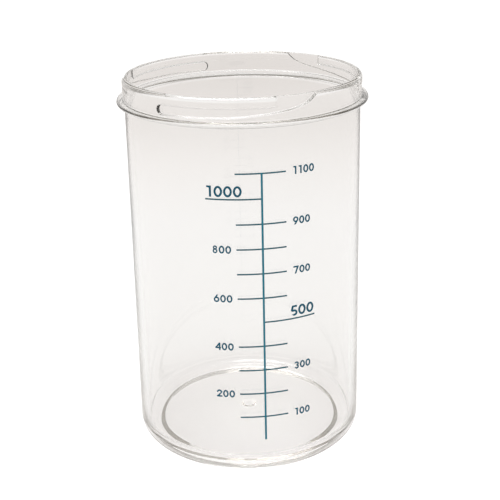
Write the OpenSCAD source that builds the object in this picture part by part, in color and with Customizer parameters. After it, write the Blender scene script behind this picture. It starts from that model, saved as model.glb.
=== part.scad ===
// Graduated 1 L jar in clear moulded plastic, with a bayonet collar and a printed scale.
// Units are millimetres. The jar stands on z = 0, its axis is +Z, and the scale faces -Y.

/* [Jar body] */
// Overall height, foot to rim
height = 180; // [150:1:210]
// Outside diameter of the straight body
body_d = 110; // [100:0.5:120]
// Wall thickness just under the collar
wall_top = 2; // [1.8:0.1:3.5]
// Wall thickness just above the base
wall_base = 3.6; // [2:0.1:4.5]
// Outside radius of the rounded heel
heel_r = 7; // [4:0.5:9]

/* [Base] */
// Height of the inner floor's edge above the table
floor_z = 6; // [4.6:0.1:8]
// Rise of the floor's shallow dome, edge to centre
dome = 3; // [1:0.1:4]
// Thickness of the floor plate
floor_t = 2.8; // [2:0.1:4]
// Radius of the domed part of the floor
floor_r = 44.2; // [40:0.1:45]
// Fillet radius between the floor and the wall
inner_heel_r = 4.5; // [3:0.1:4.5]

/* [Collar and rim] */
// Outside diameter of the collar
collar_d = 111.4; // [104:0.1:121]
// Wall thickness of the collar
collar_wall = 2.4; // [2:0.1:4]
// Height of the collar above the middle of the flange
collar_h = 11.2; // [9:0.1:16]
// Outside diameter of the flange at the collar's foot
flange_d = 117.2; // [108:0.1:130]
// Thickness of the flange, also the diameter of its rounded edge
flange_t = 2; // [1.2:0.1:3]
// Rounding of the rim's outer edge
rim_r = 1.9; // [0.8:0.1:2.2]
// Rounding of the rim's inner edge
rim_in = 0.4; // [0.2:0.1:0.5]

/* [Bayonet slots] */
// Number of slots
slots = 3; // [2:1:4]
// Depth of a slot in the collar's outer face
slot_depth = 1.3; // [0.6:0.1:1.4]
// Top edge of a slot, below the rim
slot_top = 4.6; // [2.5:0.1:5]
// Height of a slot at its closed end
slot_h = 4.4; // [3:0.05:5]
// Angle of the closed end's centre, from the scale line
slot_end = -46.9; // [-60:0.1:-40]
// Angle where the slot opens to the rim
entry_a = 7.6; // [5:0.1:20]
// Angle where the slot ends
entry_b = 27.8; // [25:0.1:40]

/* [Printed scale] */
// Thickness of the ink
ink_t = 0.15; // [0.1:0.01:0.3]
// Height of the 600 ml mark
z_600 = 89.4; // [85:0.1:95]
// Width of the upright line
line_w = 0.9; // [0.4:0.05:1.2]
// Width of the marks
mark_w = 0.66; // [0.4:0.02:1]
// Angle from the upright line to the left end of a short mark
mark_left = 12.05; // [8:0.05:16]
// Angle from the upright line to the right end of a short mark
mark_right = 11.2; // [8:0.05:16]
// Angle of a long mark, on one side only
mark_long = 25.8; // [20:0.1:32]
// Height of the small numerals
num_h = 3.6; // [2.5:0.1:4.5]
// Height of the two large numerals
big_h = 5; // [4:0.1:6]

/* [Hidden] */
$fn = 96;
R = body_d / 2;
Rc = collar_d / 2;
Rf = flange_d / 2;
Rci = Rc - collar_wall;
zf = height - collar_h;
z_ledge = zf - 2.6;
r_top = R - wall_top;
r_base = R - wall_base;
hx = r_base - inner_heel_r;
hz = floor_z + inner_heel_r;
under_z = floor_z - floor_t;
dome_r = (floor_r * floor_r + dome * dome) / (2 * dome);
dome_z = floor_z + dome - dome_r;
// The mean area inside the wall sets the marks: 100 ml a step, with the wall's slight taper.
function r_in(z) = r_base + (r_top - r_base) * (z - hz) / (z_ledge - hz);
function step(z) = 100000 / (PI * pow(r_in(z), 2));
function z_of(v) = v == 600 ? z_600
    : v > 600 ? z_of(v - 100) + step(z_of(v - 100) + 5.7)
    : z_of(v + 100) - step(z_of(v + 100) - 5.7);
eps = 0.6;

// ---- the moulding ----

// Outer outline of half the section.
module outside() {
    square([R - heel_r, heel_r]);
    translate([R - heel_r, heel_r]) circle(r = heel_r);
    translate([0, heel_r]) square([R, zf - heel_r]);
    // the flange, with a rounded edge and a sloped underside that runs into the body
    translate([0, zf - flange_t / 2]) square([Rf - flange_t / 2, flange_t]);
    translate([Rf - flange_t / 2, zf]) circle(r = flange_t / 2);
    polygon([[R - 1, zf - flange_t / 2 - 1.4], [R, zf - flange_t / 2 - 1.4],
        [R + 1.5, zf - flange_t / 2 + 0.1], [R - 1, zf - flange_t / 2 + 0.1]]);
    // the collar, rounded at the outer edge of the rim
    translate([0, zf]) square([Rc, collar_h - rim_r]);
    translate([0, zf]) square([Rc - rim_r, collar_h]);
    translate([Rc - rim_r, height - rim_r]) circle(r = rim_r);
}

// Inner outline of half the section: domed floor, fillet, tapered wall, ledge and collar.
module inside() {
    difference() {
        polygon([[0, floor_z], [hx, floor_z], [hx, hz], [r_base, hz], [r_top, z_ledge],
            [Rci, z_ledge + 2.2], [Rci, height - rim_in], [Rci + rim_in, height],
            [Rci + rim_in, height + 1], [0, height + 1]]);
        translate([0, dome_z]) circle(r = dome_r, $fn = 1440);
    }
    intersection() {
        translate([hx, hz]) circle(r = inner_heel_r);
        translate([hx, floor_z - 1]) square([inner_heel_r + 1, inner_heel_r + 1]);
    }
}

// Recess under the floor, inside the foot ring, with the gate mark left standing in it.
module recess() {
    top = under_z + dome;
    difference() {
        intersection() {
            polygon([[0, -1], [floor_r + 1.6, -1], [floor_r + 1.3, 0],
                [floor_r - 1.3, under_z + 1], [floor_r - 1.3, top + 1], [0, top + 1]]);
            translate([0, dome_z]) circle(r = dome_r - floor_t, $fn = 1440);
        }
        polygon([[0, top - 0.9], [2.4, top - 0.9], [3.8, top - 0.2], [3.8, top + 1],
            [0, top + 1]]);
    }
}

// The half-space under a plane that climbs round the collar from (a0, z0) to (a1, z1).
module under(a0, a1, z0, z1)
    rotate([0, 0, (a0 + a1) / 2]) translate([0, -Rc, (z0 + z1) / 2])
        rotate([0, -atan((z1 - z0) / (2 * Rc * sin((a1 - a0) / 2))), 0])
            translate([-110, -30, -40]) cube([220, 150, 40]);

// One slot: a round closed end, then a channel whose floor climbs in four flats to the rim.
module slot() {
    zt = height - slot_top;
    zb = zt - slot_h;
    mid = slot_end + 38.9;
    rise = entry_b - 14.8;
    turn = entry_b - 6.3;
    rotate([0, 0, slot_end]) translate([0, -Rc + slot_depth, zb + slot_h / 2])
        rotate([90, 0, 0]) cylinder(h = 6, r = slot_h / 2 - 0.12);
    difference() {
        rotate([0, 0, slot_end - 90]) rotate_extrude(angle = entry_b - slot_end)
            translate([Rc - slot_depth, zb - 2]) square([slot_depth + 4, slot_h + slot_top + 4]);
        under(slot_end, mid, zb, zb + 0.9);
        under(mid, rise, zb + 0.9, zb + 2.9);
        under(rise, turn, zb + 2.9, zb + 4.6);
        under(turn, entry_b, zb + 4.6, height + 0.4);
        rotate([0, 0, slot_end - 92]) rotate_extrude(angle = entry_a - slot_end + 2)
            translate([Rc - slot_depth - 1, zt]) square([slot_depth + 7, slot_top + 4]);
    }
}

module jar() color([0.88, 0.92, 0.95, 0.3]) difference() {
    rotate_extrude() difference() {
        intersection() {
            outside();
            square([Rf + 1, height + 1]);
        }
        inside();
        recess();
    }
    for (k = [0 : slots - 1]) rotate([0, 0, k * 360 / slots]) slot();
}

// ---- the printed scale ----

// A band of ink round the body from angle a0 to a1 and from height z0 to z1.
module band(a0, a1, z0, z1)
    rotate([0, 0, a0 - 90]) rotate_extrude(angle = a1 - a0)
        translate([R, z0]) square([ink_t, z1 - z0]);

function deg(x) = x / R * 180 / PI;
edge = deg(line_w / 2);

// An oval of four arcs, w wide and h high, drawn smaller all round by s: two end arcs of radius
// ra, and two side arcs of the radius rb that meets them smoothly.
module oval(w, h, s = 0) {
    ra = w * 0.4;
    b = h / 2 - ra;
    rb = (w * w / 4 + b * b - ra * ra) / (w - 2 * ra);
    join = b * (rb - s) / (rb - ra);
    translate([w / 2, h / 2]) {
        translate([0, b]) circle(r = ra - s);
        translate([0, -b]) circle(r = ra - s);
        intersection() {
            translate([rb - w / 2, 0]) circle(r = rb - s);
            translate([w / 2 - rb, 0]) circle(r = rb - s);
            translate([-w, -join]) square([2 * w, 2 * join]);
        }
    }
}
module ring(r, s) difference() {
    circle(r = r);
    circle(r = r - s);
}
module six(w, h, s) {
    translate([w / 2, w / 2]) ring(w / 2, s);
    polygon([[w * 0.03, w * 0.66], [w * 0.5, h], [w * 0.5 + s * 1.25, h], [s * 0.95, w * 0.6],
        [s * 0.5, w * 0.5]]);
}
module glyph(d, w, h, s) {
    r3 = (h + s) / 4;
    if (d == 0) difference() {
        oval(w, h);
        oval(w, h, s);
    }
    if (d == 1) polygon([[0, h], [w * 0.3 + s, h], [w * 0.3 + s, 0], [w * 0.3, 0],
        [w * 0.3, h - s], [0, h - s * 0.75]]);
    if (d == 2) {
        intersection() {
            translate([w / 2, h - w / 2]) ring(w / 2, s);
            translate([0, h - w / 2]) square([w, w]);
        }
        polygon([[w, h - w / 2], [w - s, h - w / 2], [0, s * 0.5], [0, 0], [s * 1.2, 0]]);
        square([w, s]);
    }
    if (d == 3) difference() {
        union() {
            translate([w * 0.5, h - r3]) ring(r3, s);
            translate([w * 0.5, r3]) ring(r3, s);
        }
        translate([-1, r3 * 0.8]) square([w * 0.5 + 0.9, h - r3 * 1.6]);
    }
    if (d == 4) {
        translate([w * 0.66, 0]) square([s, h]);
        translate([0, h * 0.23]) square([w, s]);
        difference() {
            polygon([[0, h * 0.23], [0, h * 0.23 + s * 0.6], [w * 0.66, h], [w * 0.66 + s, h],
                [w * 0.66 + s, h * 0.23]]);
            polygon([[s * 1.3, h * 0.23 + s], [w * 0.66, h * 0.23 + s], [w * 0.66, h - s * 2]]);
        }
    }
    if (d == 5) {
        translate([w * 0.3, h - s * 0.9]) square([w * 0.65, s * 0.9]);
        polygon([[w * 0.3, h], [w * 0.3 + s, h], [w * 0.14 + s * 1.1, h * 0.5],
            [w * 0.14, h * 0.5]]);
        difference() {
            translate([w - h * 0.3, h * 0.3]) ring(h * 0.3, s);
            translate([-h, h * 0.14]) square([w + h * 0.64, h * 0.46 - s]);
        }
    }
    if (d == 6) six(w, h, s);
    if (d == 7) {
        translate([0, h - s]) square([w, s]);
        polygon([[w - s * 1.15, h - s / 2], [w, h - s / 2], [w * 0.25 + s, 0], [w * 0.25, 0]]);
    }
    if (d == 8) {
        translate([w / 2, h * 0.74]) ring(h * 0.26, s * 0.85);
        translate([w / 2, h * 0.3]) ring(h * 0.3, s * 0.85);
    }
    if (d == 9) translate([w, h]) rotate(180) six(w, h, s);
}

// A number wrapped on the wall: list of digits, left edge angle, height of its middle.
function wide(d, w, s) = d == 1 ? w * 0.85 : w;
function start(ds, i, w, s, g) = i == 0 ? 0 : start(ds, i - 1, w, s, g) + wide(ds[i - 1], w, s) + g;
function total(ds, w, s, g) = start(ds, len(ds) - 1, w, s, g) + wide(ds[len(ds) - 1], w, s);
module number(ds, a0, zc, h, w, s, g) intersection() {
    for (i = [0 : len(ds) - 1]) {
        wd = wide(ds[i], w, s);
        rotate([0, 0, a0 + deg(start(ds, i, w, s, g) + wd / 2)])
            translate([0, -R + 2, zc - h / 2]) rotate([90, 0, 0])
                linear_extrude(height = 4)
                    translate([-wd / 2 + (ds[i] == 1 ? (w * 0.55 - s) * 0.4 : 0), 0])
                        glyph(ds[i], w, h, s);
    }
    rotate_extrude() translate([R, zc - h]) square([ink_t, 2 * h]);
}

num_w = num_h * 0.72;
num_s = 0.68;
num_g = 0.36;
big_w = big_h * 0.76;
big_s = 0.94;
big_g = 0.42;

module left_number(ds, v)
    number(ds, -mark_left - 2.4 - deg(total(ds, num_w, num_s, num_g)), z_of(v),
        num_h, num_w, num_s, num_g);
module right_number(ds, v)
    number(ds, mark_right + 3.3, z_of(v), num_h, num_w, num_s, num_g);

module ink() color([0.06, 0.36, 0.52]) children();
module short_mark(v) {
    band(-mark_left, -edge, z_of(v) - mark_w / 2, z_of(v) + mark_w / 2);
    band(edge, mark_right, z_of(v) - mark_w / 2, z_of(v) + mark_w / 2);
}

module scale_line() ink() band(-edge, edge, z_of(100) - step(20), z_of(1100) + mark_w / 2);
module mark_100() ink() short_mark(100);
module mark_200() ink() short_mark(200);
module mark_300() ink() short_mark(300);
module mark_400() ink() short_mark(400);
module mark_500() ink() band(edge, mark_long, z_of(500) - mark_w / 2, z_of(500) + mark_w / 2);
module mark_600() ink() short_mark(600);
module mark_700() ink() short_mark(700);
module mark_800() ink() short_mark(800);
module mark_900() ink() short_mark(900);
module mark_1000() ink() band(-mark_long, -edge, z_of(1000) - mark_w / 2, z_of(1000) + mark_w / 2);
module mark_1100() ink() short_mark(1100);
module number_100() ink() right_number([1, 0, 0], 100);
module number_200() ink() left_number([2, 0, 0], 200);
module number_300() ink() right_number([3, 0, 0], 300);
module number_400() ink() left_number([4, 0, 0], 400);
module number_500() ink()
    number([5, 0, 0], mark_long - 0.6 - deg(total([5, 0, 0], big_w, big_s, big_g)),
        z_of(500) + 1.3 + big_h / 2, big_h, big_w, big_s, big_g);
module number_600() ink() left_number([6, 0, 0], 600);
module number_700() ink() right_number([7, 0, 0], 700);
module number_800() ink() left_number([8, 0, 0], 800);
module number_900() ink() right_number([9, 0, 0], 900);
module number_1000() ink()
    number([1, 0, 0, 0], -mark_long + 0.2, z_of(1000) + 1.1 + big_h / 2,
        big_h, big_w, big_s, big_g);
module number_1100() ink() right_number([1, 1, 0, 0], 1100);

jar();
scale_line();
mark_100();
mark_200();
mark_300();
mark_400();
mark_500();
mark_600();
mark_700();
mark_800();
mark_900();
mark_1000();
mark_1100();
number_100();
number_200();
number_300();
number_400();
number_500();
number_600();
number_700();
number_800();
number_900();
number_1000();
number_1100();
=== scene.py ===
import math

import bmesh
import bpy
import numpy as np
from mathutils import Matrix, Vector


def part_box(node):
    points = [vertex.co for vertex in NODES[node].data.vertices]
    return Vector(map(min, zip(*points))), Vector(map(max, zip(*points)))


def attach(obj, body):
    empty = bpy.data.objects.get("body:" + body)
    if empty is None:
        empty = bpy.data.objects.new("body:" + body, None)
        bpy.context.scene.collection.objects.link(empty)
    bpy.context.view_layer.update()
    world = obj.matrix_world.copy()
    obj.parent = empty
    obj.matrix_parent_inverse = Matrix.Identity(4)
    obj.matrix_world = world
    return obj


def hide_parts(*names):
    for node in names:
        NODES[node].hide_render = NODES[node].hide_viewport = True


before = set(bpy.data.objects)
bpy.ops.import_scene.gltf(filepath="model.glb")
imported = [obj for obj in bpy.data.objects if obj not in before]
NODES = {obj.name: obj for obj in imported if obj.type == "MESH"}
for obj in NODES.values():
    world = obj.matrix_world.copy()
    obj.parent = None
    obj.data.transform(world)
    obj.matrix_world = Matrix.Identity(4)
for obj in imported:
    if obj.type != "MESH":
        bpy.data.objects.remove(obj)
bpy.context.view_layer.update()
MM = 0.001  # metres in a millimetre

# ---------------------------------------------------------------- sizes
# Lengths are in millimetres and angles in degrees, unless a comment says metres.
# The jar's box gives the height and the flange's radius; the rest of the section hangs on those two.
jar_lo, jar_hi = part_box("jar")
H = jar_hi.z / MM
RF = (jar_hi.x - jar_lo.x) / 2 / MM
R_BODY = 55.0 * RF / 58.6
RC = 55.7 * RF / 58.6  # collar, outside
RCI = RC - 2.4  # collar, inside
Z_FLANGE = H - 11.2  # middle of the flange
FLANGE_HALF = 1.0  # half its thickness, and the radius of its edge
Z_LEDGE = Z_FLANGE - 2.6  # where the bore opens into the collar
RIM_OUT = 1.9  # rounding of the rim's outer edge
RIM_IN = 0.4  # rounding of its inner edge
R_TOP = R_BODY - 2.0  # bore just under the ledge
R_BASE = R_BODY - 3.6  # bore just above the base

FLOOR_Z = 6.0  # edge of the inner floor
FLOOR_R = 44.2  # radius of its domed part
FLOOR_T = 2.8
DOME = 3.0  # rise of the dome
UNDER_Z = FLOOR_Z - FLOOR_T
IN_HEEL = 4.5  # fillet between floor and wall
HEEL = 7.0  # outside heel
HX = R_BASE - IN_HEEL
HZ = FLOOR_Z + IN_HEEL
GATE_H = 0.9  # the gate mark hangs this far down in the recess
GATE_R = 2.4
GATE_FOOT_R = 3.8

SLOTS = 3
SLOT_DEPTH = 1.3
SLOT_TOP = 4.6  # below the rim
SLOT_H = 4.4
SLOT_END = -46.9  # centre of the closed end
ENTRY_A = 7.6  # where the slot opens to the rim
LIP_ROUND = 0.7
SLOT_EDGE = 0.5  # width of the slot's softened edge
DEG = RC * math.pi / 180  # length of one degree round the collar

COARSE = 720  # points round a plain ring
FINE = 1440  # points round a ring that the slots cut


def smooth_curve(knots, lo, hi, width):
    """A chain of (angle, height) knots as a fine curve, with its corners eased over width degrees."""
    step = 0.25
    a = np.arange(lo, hi, step)
    z = np.interp(a, [k[0] for k in knots], [k[1] for k in knots])
    pad = int(width / step)
    z = np.concatenate([np.full(pad, z[0]), z, z[-1] + (z[-1] - z[-2]) * np.arange(1, pad + 1)])
    kernel = np.hanning(2 * pad + 1)
    return a, np.convolve(z, kernel / kernel.sum(), "valid")


# The slot's floor climbs slowly, then faster, and leaves through the rim.
FLOOR_KNOTS = [(SLOT_END, H - 9.0), (-12, H - 8.35), (3, H - 7.25), (13.5, H - 6.1), (20.6, H - 4.6),
               (23.8, H - 3.2), (27.6, H + 0.3), (30, H + 2.6)]
SLOT_A, SLOT_Z = smooth_curve(FLOOR_KNOTS, SLOT_END - 30, 34, 3)
SLOT_SLOPE = np.gradient(SLOT_Z, SLOT_A * DEG)


# ---------------------------------------------------------------- camera
def make_camera():
    """The camera fitted to the photograph: a little left of the scale, looking down into the mouth."""
    image_px = 500
    focal_px = 1078.8
    pitch, roll, azimuth = math.radians(18.613), math.radians(-1.2825), math.radians(-7.8)
    distance, height = 0.49476, 0.28003  # metres
    out = Vector((math.sin(azimuth), -math.cos(azimuth), 0))
    forward = -out * math.cos(pitch) - Vector((0, 0, math.sin(pitch)))
    level_up = -out * math.sin(pitch) + Vector((0, 0, math.cos(pitch)))
    level_right = forward.cross(level_up)
    right = level_right * math.cos(roll) + level_up * math.sin(roll)
    up = level_up * math.cos(roll) - level_right * math.sin(roll)
    data = bpy.data.cameras.new("view_camera")
    data.sensor_width = 36.0
    data.lens = focal_px / image_px * data.sensor_width
    data.shift_x = 5.16 / image_px
    data.shift_y = -42.0 / image_px
    data.clip_start = 0.01
    data.clip_end = 100.0
    cam = bpy.data.objects.new("view_camera", data)
    bpy.context.scene.collection.objects.link(cam)
    pose = Matrix((right, up, -forward)).transposed().to_4x4()
    pose.translation = out * distance + Vector((0, 0, height))
    cam.matrix_world = pose
    bpy.context.scene.camera = cam


make_camera()


# ---------------------------------------------------------------- node helpers
def new_material(name):
    mat = bpy.data.materials.new(name)
    mat.use_nodes = True
    mat.node_tree.nodes.clear()
    return mat, mat.node_tree


def node(nt, kind, **values):
    """A new node with its own settings and its sockets' values; _ stands for a space in a socket's name."""
    n = nt.nodes.new(kind)
    for k, v in values.items():
        if hasattr(n, k):
            setattr(n, k, v)
        else:
            n.inputs[k.replace("_", " ")].default_value = v
    return n


def link(nt, a, b):
    nt.links.new(a, b)


def fill_ramp(ramp, stops):
    """Sets a colour ramp from (position, colour) stops."""
    ramp.elements[0].position, ramp.elements[0].color = stops[0][0], (*stops[0][1], 1)
    ramp.elements[1].position, ramp.elements[1].color = stops[-1][0], (*stops[-1][1], 1)
    for pos, c in stops[1:-1]:
        ramp.elements.new(pos).color = (*c, 1)


def ramp_node(nt, stops, factor):
    """A colour ramp with these stops, driven by factor. Gives its colour output."""
    ramp = node(nt, "ShaderNodeValToRGB")
    fill_ramp(ramp.color_ramp, stops)
    link(nt, factor, ramp.inputs["Fac"])
    return ramp.outputs["Color"]


def bump_into(nt, height, bsdf, strength, distance):
    """Bump from a height output, distance in metres."""
    bump = node(nt, "ShaderNodeBump", Strength=strength, Distance=distance)
    link(nt, height, bump.inputs["Height"])
    link(nt, bump.outputs["Normal"], bsdf.inputs["Normal"])


# ---------------------------------------------------------------- materials
def clear_plastic():
    """Clear moulded plastic: warm very pale tint, with faint flow ripple."""
    mat, nt = new_material("clear_moulded_plastic")
    coord = node(nt, "ShaderNodeTexCoord")
    out = node(nt, "ShaderNodeOutputMaterial")
    bsdf = node(nt, "ShaderNodeBsdfPrincipled", Transmission_Weight=1.0, IOR=1.58, Roughness=0.0)
    # the body of the plastic takes off a little blue, so long paths through it turn grey-beige
    depth = node(nt, "ShaderNodeVolumeAbsorption", Color=(0.56, 0.52, 0.45, 1), Density=5.0)
    link(nt, depth.outputs["Volume"], out.inputs["Volume"])
    # tint: hardly any, a little warmer in slow patches where the melt cooled thicker
    slow = node(nt, "ShaderNodeTexNoise", Scale=14.0, Detail=3.0, Roughness=0.5)
    link(nt, coord.outputs["Object"], slow.inputs["Vector"])
    tint = ramp_node(nt, [(0.3, (0.966, 0.962, 0.957)), (0.7, (0.978, 0.975, 0.972))], slow.outputs["Fac"])
    link(nt, tint, bsdf.inputs["Base Color"])
    # ripple: long faint waves down the wall, drawn out along the axis
    stretch = node(nt, "ShaderNodeMapping", Scale=(1.0, 1.0, 0.25))
    link(nt, coord.outputs["Object"], stretch.inputs["Vector"])
    wave = node(nt, "ShaderNodeTexNoise", Scale=60.0, Detail=2.0, Roughness=0.45)
    link(nt, stretch.outputs["Vector"], wave.inputs["Vector"])
    bump_into(nt, wave.outputs["Fac"], bsdf, 0.04, 0.0004)
    # lamps shine through, as they do through real clear plastic
    clear = node(nt, "ShaderNodeBsdfTransparent", Color=(0.93, 0.925, 0.92, 1))
    path = node(nt, "ShaderNodeLightPath")
    mix = node(nt, "ShaderNodeMixShader")
    link(nt, path.outputs["Is Shadow Ray"], mix.inputs["Fac"])
    link(nt, bsdf.outputs["BSDF"], mix.inputs[1])
    link(nt, clear.outputs["BSDF"], mix.inputs[2])
    link(nt, mix.outputs["Shader"], out.inputs["Surface"])
    return mat


def blue_ink(name, thick, thin):
    """Screen-printed ink, mottled between its thick and its thin tone like a printed film."""
    mat, nt = new_material(name)
    coord = node(nt, "ShaderNodeTexCoord")
    out = node(nt, "ShaderNodeOutputMaterial")
    bsdf = node(nt, "ShaderNodeBsdfPrincipled", IOR=1.5, Specular_IOR_Level=0.2)
    mottle = node(nt, "ShaderNodeTexNoise", Scale=900.0, Detail=4.0, Roughness=0.6)
    link(nt, coord.outputs["Object"], mottle.inputs["Vector"])
    colour = ramp_node(nt, [(0.3, thick), (0.72, thin)], mottle.outputs["Fac"])
    link(nt, colour, bsdf.inputs["Base Color"])
    rough = node(nt, "ShaderNodeMapRange", To_Min=0.38, To_Max=0.6)
    link(nt, mottle.outputs["Fac"], rough.inputs["Value"])
    link(nt, rough.outputs["Result"], bsdf.inputs["Roughness"])
    bump_into(nt, mottle.outputs["Fac"], bsdf, 0.25, 0.00004)
    link(nt, bsdf.outputs["BSDF"], out.inputs["Surface"])
    return mat


# Tone of the floor against the distance from the jar's axis, in metres: pale close by, then a painted contact
# shadow in a darker ring round the jar's foot, painted shade in a beige-grey band where the collar looks on to
# it, and pale again at the far end, where it meets the room.
FLOOR_PAINTED_SHADE_TONES = [(0.0, (1.0, 0.99, 0.98)), (0.017, (0.975, 0.965, 0.96)), (0.034, (0.90, 0.885, 0.88)),
               (0.054, (0.89, 0.87, 0.865)), (0.070, (0.88, 0.865, 0.855)), (0.10, (0.935, 0.93, 0.92)),
               (0.30, (0.945, 0.94, 0.935)), (0.456, (0.91, 0.89, 0.875)), (0.66, (0.81, 0.78, 0.76)),
               (0.90, (0.765, 0.73, 0.705)), (1.25, (0.76, 0.725, 0.70)), (2.2, (0.85, 0.83, 0.81)),
               (4.0, (0.93, 0.92, 0.91)), (6.0, (0.95, 0.94, 0.93))]
FLOOR_REACH = FLOOR_PAINTED_SHADE_TONES[-1][0]


def glowing_floor():
    """Pale table that glows rather than being lit: plain white to the camera, as in the cut-out photograph,
    and painted tones with painted shade to every other ray.
    """
    mat, nt = new_material("glowing_floor")
    coord = node(nt, "ShaderNodeTexCoord")
    out = node(nt, "ShaderNodeOutputMaterial")
    dist = node(nt, "ShaderNodeVectorMath", operation="LENGTH")
    link(nt, coord.outputs["Object"], dist.inputs[0])
    far = node(nt, "ShaderNodeMapRange", From_Min=0.0, From_Max=FLOOR_REACH)
    link(nt, dist.outputs["Value"], far.inputs["Value"])
    # painted tones: a painted contact shadow round the jar's foot and painted shade in a darker band further
    # out
    painted_tone = ramp_node(nt, [(d / FLOOR_REACH, c) for d, c in FLOOR_PAINTED_SHADE_TONES], far.outputs["Result"])
    # the floor glows though it is no lamp, and this painted glow carries most of the tone: the painted tones
    # with their painted shade, or plain white to the camera
    path = node(nt, "ShaderNodeLightPath")
    pick = node(nt, "ShaderNodeMix", data_type="RGBA")
    link(nt, path.outputs["Is Camera Ray"], pick.inputs["Factor"])
    link(nt, painted_tone, pick.inputs[6])
    pick.inputs[7].default_value = (1.25, 1.25, 1.25, 1)
    glow = node(nt, "ShaderNodeEmission", Strength=0.74)
    link(nt, pick.outputs[2], glow.inputs["Color"])
    # the rest is lit by the lamp and the room, coloured by the same painted tones
    lit = node(nt, "ShaderNodeBsdfDiffuse")
    link(nt, painted_tone, lit.inputs["Color"])
    dark = node(nt, "ShaderNodeBsdfDiffuse", Color=(0, 0, 0, 1))
    dim = node(nt, "ShaderNodeMixShader", Fac=0.28)
    link(nt, dark.outputs["BSDF"], dim.inputs[1])
    link(nt, lit.outputs["BSDF"], dim.inputs[2])
    add = node(nt, "ShaderNodeAddShader")
    link(nt, glow.outputs["Emission"], add.inputs[0])
    link(nt, dim.outputs["Shader"], add.inputs[1])
    link(nt, add.outputs["Shader"], out.inputs["Surface"])
    return mat


PLASTIC = clear_plastic()
FLOOR = glowing_floor()
NUMBER_INK = blue_ink("blue_ink_numbers", (0.003, 0.072, 0.122), (0.009, 0.128, 0.205))
MARK_INK = blue_ink("blue_ink_marks", (0.024, 0.096, 0.128), (0.050, 0.155, 0.200))
LINE_INK = blue_ink("blue_ink_line", (0.014, 0.158, 0.225), (0.034, 0.232, 0.320))


# ---------------------------------------------------------------- outline helpers
def arc(cx, cz, r, a0, a1, n):
    """Points on an arc, angles in degrees from +r towards +z, both ends kept."""
    return [(cx + r * math.cos(math.radians(a0 + (a1 - a0) * i / n)),
             cz + r * math.sin(math.radians(a0 + (a1 - a0) * i / n))) for i in range(n + 1)]


def rounded(points, n=5):
    """A chain of (r, z, fillet) corners with each corner rounded by its fillet radius."""
    out = []
    for i, (x, z, f) in enumerate(points):
        if f <= 0 or i in (0, len(points) - 1):
            out.append((x, z))
            continue
        p = Vector((x, z))
        a = Vector(points[i - 1][:2]) - p
        b = Vector(points[i + 1][:2]) - p
        half = a.angle(b) / 2
        d = min(f / math.tan(half), a.length * 0.49, b.length * 0.49)
        f = d * math.tan(half)
        a.normalize()
        b.normalize()
        c = p + (a + b).normalized() * (f / math.sin(half))
        s, e = p + a * d - c, p + b * d - c
        turn = s.angle_signed(e)
        for k in range(n + 1):
            t = -turn * k / n
            out.append((c.x + s.x * math.cos(t) - s.y * math.sin(t),
                        c.y + s.x * math.sin(t) + s.y * math.cos(t)))
    return out


def spread(a, b, n):
    """n points strictly between a and b."""
    return [(a[0] + (b[0] - a[0]) * i / (n + 1), a[1] + (b[1] - a[1]) * i / (n + 1))
            for i in range(1, n + 1)]


# ---------------------------------------------------------------- rings and skin
def slot_mask(phi, z):
    """1 inside a bayonet slot, 0 outside, with a soft edge. phi in degrees and z in mm, both arrays."""
    top_z = H - SLOT_TOP
    end_r = SLOT_H / 2
    best = np.full(np.shape(z), -9.0)
    for k in range(SLOTS):
        a = (phi - 360 / SLOTS * k - SLOT_END + 180) % 360 - 180 + SLOT_END
        above = (z - np.interp(a, SLOT_A, SLOT_Z)) / np.sqrt(1 + np.interp(a, SLOT_A, SLOT_SLOPE) ** 2)
        below = top_z - z
        past = (a - ENTRY_A) * DEG
        # the lip's corner at the entry is rounded
        corner = np.hypot(np.maximum(below + LIP_ROUND, 0), np.maximum(past + LIP_ROUND, 0)) - LIP_ROUND
        room = np.where((below > -LIP_ROUND) & (past > -LIP_ROUND), corner, np.maximum(below, past))
        end = end_r - np.hypot((a - SLOT_END) * DEG, below - end_r)
        best = np.maximum(best, np.where(a < SLOT_END, end, np.minimum(above, room)))
    t = np.clip(best / SLOT_EDGE + 0.5, 0, 1)
    return t * t * (3 - 2 * t)


def ring(r, z, n, slotted):
    """n points round the axis at radius r and height z, pushed in where a slot is cut."""
    phi = np.arange(n) * 360.0 / n
    rr = np.full(n, float(r))
    if slotted:
        deep = RC - SLOT_DEPTH
        mask = slot_mask((phi + 180) % 360 - 180, np.full(n, float(z)))
        rr = np.where(rr > deep, rr + (deep - rr) * mask, rr)
    a = np.radians(phi)
    return np.stack([rr * np.sin(a), -rr * np.cos(a), np.full(n, float(z))], 1)


def skin_faces(rings):
    """Faces between each ring and the next. A ring may have one point, or a whole multiple of the other's."""
    starts = np.cumsum([0] + [len(r) for r in rings])
    faces = []
    for i in range(len(rings) - 1):
        a, b, na, nb = starts[i], starts[i + 1], len(rings[i]), len(rings[i + 1])
        if na == 1 or nb == 1:
            one, many, n = (a, b, nb) if na == 1 else (b, a, na)
            for k in range(n):
                t = (one, many + k, many + (k + 1) % n)
                faces.append(t if na == 1 else t[::-1])
        elif na == nb:
            for k in range(na):
                k2 = (k + 1) % na
                faces.append((a + k, b + k, b + k2, a + k2))
        else:
            coarse_first = na < nb
            c, f, nc, nf = (a, b, na, nb) if coarse_first else (b, a, nb, na)
            q = nf // nc
            for k in range(nc):
                fan = [f + (k * q + j) % nf for j in range(q + 1)]
                loop = [c + k] + fan + [c + (k + 1) % nc]
                faces.append(tuple(loop) if coarse_first else tuple(loop[::-1]))
    return faces


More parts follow.
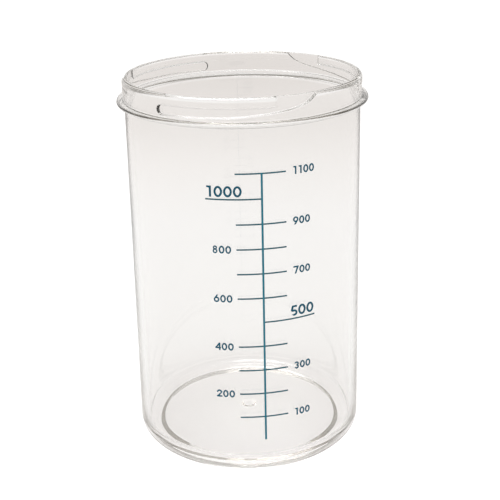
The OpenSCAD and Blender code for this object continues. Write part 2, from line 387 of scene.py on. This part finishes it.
def lathe(name, rings):
    """A closed smooth-shaded skin through rings of points. A ring of one point closes an end."""
    mesh = bpy.data.meshes.new(name)
    mesh.from_pydata((np.concatenate(rings) * MM).tolist(), [], skin_faces(rings))
    mesh.validate()
    bm = bmesh.new()
    bm.from_mesh(mesh)
    bmesh.ops.recalc_face_normals(bm, faces=bm.faces)
    bmesh.ops.triangulate(bm, faces=[f for f in bm.faces if len(f.verts) > 4])
    bm.to_mesh(mesh)
    bm.free()
    for p in mesh.polygons:
        p.use_smooth = True
    obj = bpy.data.objects.new(name, mesh)
    bpy.context.scene.collection.objects.link(obj)
    return obj


# ---------------------------------------------------------------- the moulding
# Each part of the section gives runs of points, from the gate mark under the floor, out and up round the
# rim, and down inside to the middle of the floor. A run is (points, points round each ring, slots cut).
def dome(r):
    """Rise of the floor's dome above its edge, at radius r."""
    return DOME * (1 - (r / FLOOR_R) ** 2)


def underside():
    """Gate mark, domed recess, foot ring and heel."""
    middle = UNDER_Z + DOME
    step_in = FLOOR_R - 0.7
    gate = rounded([(0, middle - GATE_H, 0), (GATE_R, middle - GATE_H, 0.7), (GATE_FOOT_R, middle - 0.02, 0.6),
                    (5.4, UNDER_Z + dome(5.4), 0)], 6)
    foot = rounded([(r, UNDER_Z + dome(r), 0) for r in range(7, 43, 2)]
                   + [(step_in, UNDER_Z + dome(step_in), 0.6), (FLOOR_R + 1.3, 0.0, 0.5),
                      (R_BODY - HEEL - 0.2, 0.0, 0.0)])
    heel = arc(R_BODY - HEEL, HEEL, HEEL, -90, 0, 18)
    return [(gate[:1], 1, False), (gate[1:] + foot + heel, COARSE, False)]


def outer_wall():
    """Straight wall, then the flange with the cove under it, up to the collar's foot."""
    wall_top = Z_FLANGE - 2.4
    edge_r = RF - FLANGE_HALF
    low, high = Z_FLANGE - FLANGE_HALF, Z_FLANGE + FLANGE_HALF
    wall = spread((R_BODY, HEEL), (R_BODY, wall_top), 30)
    cove = rounded([(R_BODY, wall_top, 0), (R_BODY, low - 0.9, 1.2), (edge_r - 0.3, low, 0.4),
                    (edge_r, low, 0)], 8)
    edge = arc(edge_r, Z_FLANGE, FLANGE_HALF, -90, 90, 14)
    top = rounded([(edge_r, high, 0), (RC, high, 0.3), (RC, high + 1.2, 0)])
    return [(wall + cove[:-1] + edge + top[1:-1], COARSE, False)]


def collar():
    """The slotted face of the collar, in fine rows, and the rounded edge of the rim."""
    row_h = 0.19
    z0, z1 = Z_FLANGE + 1.85, H - RIM_OUT
    rows = int(round((z1 - z0) / row_h))
    face = [(RC, z0 + (z1 - z0) * i / rows) for i in range(rows + 1)]
    rim = arc(RC - RIM_OUT, H - RIM_OUT, RIM_OUT, 0, 90, 10)
    return [(face + rim[1:-1], FINE, True)]


def inside():
    """Rim, collar's bore, ledge, tapered bore, fillet, and the domed floor to its middle."""
    bend = FLOOR_R - 2.2
    mouth = rounded([(RC - RIM_OUT, H, 0), (RCI, H, RIM_IN), (RCI, Z_LEDGE + 2.2, 0.5), (R_TOP, Z_LEDGE, 0.8),
                     (R_TOP + (R_BASE - R_TOP) * 0.05, Z_LEDGE - 7, 0)])
    bore = spread(mouth[-1], (R_BASE, HZ), 30)
    fillet = arc(HX, HZ, IN_HEEL, 0, -90, 14)
    crease = rounded([(HX - 0.4, FLOOR_Z, 0), (FLOOR_R, FLOOR_Z, 6.0), (bend, FLOOR_Z + dome(bend), 0)], 6)
    floor = [(r, FLOOR_Z + dome(r)) for r in range(40, 1, -2)]
    return [(mouth + bore + fillet + crease + floor, COARSE, False), ([(0, FLOOR_Z + DOME)], 1, False)]


def make_jar():
    rings = [ring(r, z, n, slotted) for points, n, slotted in underside() + outer_wall() + collar() + inside()
             for r, z in points]
    obj = lathe("jar_moulding", rings)
    obj.data.materials.append(PLASTIC)
    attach(obj, "root")
    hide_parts("jar")


make_jar()


# ---------------------------------------------------------------- the printed scale
def ink_for(name):
    if name.startswith("number"):
        return NUMBER_INK
    if name.startswith("mark"):
        return MARK_INK
    return LINE_INK


for name, obj in NODES.items():
    if name != "jar":
        obj.data.materials.clear()
        obj.data.materials.append(ink_for(name))


# ---------------------------------------------------------------- stage
def make_stage():
    """A wide floor, a hair below the jar's foot. Sizes in metres."""
    s, z = 30.0, -0.0002
    mesh = bpy.data.meshes.new("floor")
    mesh.from_pydata([(-s, -s, z), (s, -s, z), (s, s, z), (-s, s, z)], [], [(0, 1, 2, 3)])
    mesh.materials.append(FLOOR)
    floor = bpy.data.objects.new("floor", mesh)
    bpy.context.scene.collection.objects.link(floor)


# Tone of the room against the height of the direction looked in: 0 level, 1 straight up.
ROOM_TONES = [(0.0, (0.945, 0.935, 0.925)), (0.28, (0.90, 0.88, 0.86)), (0.44, (0.42, 0.40, 0.37)),
              (0.6, (0.22, 0.20, 0.17)), (0.72, (0.30, 0.285, 0.27)), (0.82, (0.75, 0.74, 0.72)),
              (1.0, (1.0, 1.0, 1.0))]


def make_world():
    """A soft room: pale low down, a dark warm grey band above, bright overhead. White to the camera."""
    world = bpy.data.worlds.new("studio")
    bpy.context.scene.world = world
    world.use_nodes = True
    nt = world.node_tree
    nt.nodes.clear()
    out = node(nt, "ShaderNodeOutputWorld")
    coord = node(nt, "ShaderNodeTexCoord")
    sep = node(nt, "ShaderNodeSeparateXYZ")
    link(nt, coord.outputs["Generated"], sep.inputs["Vector"])
    room = node(nt, "ShaderNodeBackground", Strength=1.0)
    link(nt, ramp_node(nt, ROOM_TONES, sep.outputs["Z"]), room.inputs["Color"])
    plain = node(nt, "ShaderNodeBackground", Color=(1, 1, 1, 1), Strength=1.0)
    path = node(nt, "ShaderNodeLightPath")
    mix = node(nt, "ShaderNodeMixShader")
    link(nt, path.outputs["Is Camera Ray"], mix.inputs["Fac"])
    link(nt, room.outputs["Background"], mix.inputs[1])
    link(nt, plain.outputs["Background"], mix.inputs[2])
    link(nt, mix.outputs["Shader"], out.inputs["Surface"])


def make_softbox():
    """One large square lamp overhead, a little left and behind, aimed at the jar. Metres and watts."""
    place, aim = Vector((-0.25, 0.1, 1.6)), Vector((0, 0, 0.1))
    data = bpy.data.lights.new("softbox_top", "AREA")
    data.shape = "RECTANGLE"
    data.size = 1.1
    data.size_y = 1.1
    data.energy = 16
    lamp = bpy.data.objects.new("softbox_top", data)
    bpy.context.scene.collection.objects.link(lamp)
    lamp.location = place
    lamp.rotation_mode = "QUATERNION"
    lamp.rotation_quaternion = (aim - place).to_track_quat("-Z", "Y")


def set_light_paths():
    """Light runs a long way inside clear walls, so it may bounce many times before it is dropped."""
    scene = bpy.context.scene
    scene.view_settings.view_transform = "Standard"
    scene.view_settings.look = "None"
    scene.cycles.max_bounces = 64
    scene.cycles.transmission_bounces = 64
    scene.cycles.glossy_bounces = 64
    scene.cycles.transparent_max_bounces = 16
    scene.cycles.diffuse_bounces = 4


make_stage()
make_world()
make_softbox()
set_light_paths()
